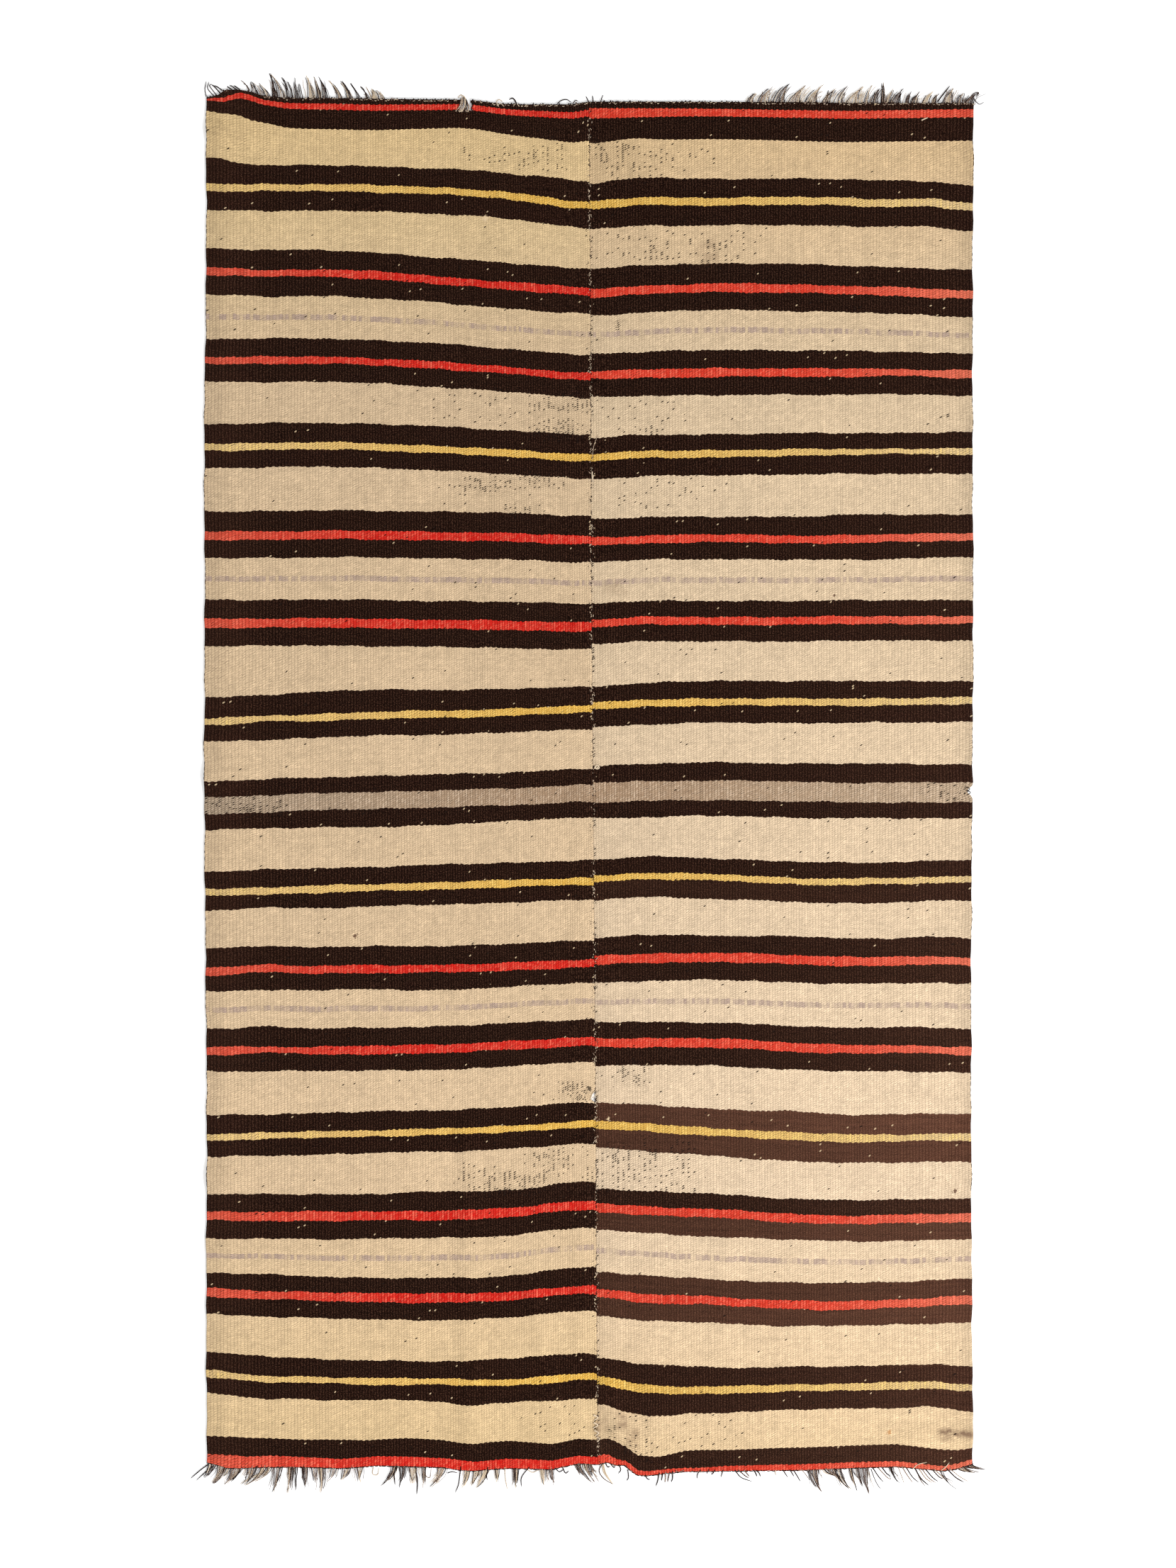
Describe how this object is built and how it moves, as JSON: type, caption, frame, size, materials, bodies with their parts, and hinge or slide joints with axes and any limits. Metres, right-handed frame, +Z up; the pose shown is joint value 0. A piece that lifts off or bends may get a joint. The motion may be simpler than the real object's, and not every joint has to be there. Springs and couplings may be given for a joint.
{
  "type": "woven striped wool blanket",
  "caption": "Flat-woven striped wool blanket of two loom widths sewn together, lying flat with short warp fringe at both ends.",
  "frame": {"origin": "on the floor, under the middle of the blanket with its fringe", "axes": "+Y along the warp towards the end that is at the top of the picture, +X across the blanket, +Z up from the floor"},
  "size_m": [1.1416, 2.0375, 0.0102],
  "materials": {
    "left_wool": "matte weft-faced wool in dark brown, cream, red, yellow and grey stripes",
    "right_wool": "matte weft-faced wool in dark brown, cream, red, yellow and grey stripes",
    "warp_ends": "loose twisted wool and goat hair in dark brown, grey and cream",
    "sewing_thread": "coarse twisted wool sewing thread"
  },
  "bodies": {
    "root": {"panel_left": "left_wool", "panel_right": "right_wool", "fringe_top_left": "warp_ends", "fringe_top_notch": "warp_ends", "fringe_top_right": "warp_ends", "fringe_bottom_left": "warp_ends", "fringe_bottom_right": "warp_ends"}
  },
  "joints": []
}
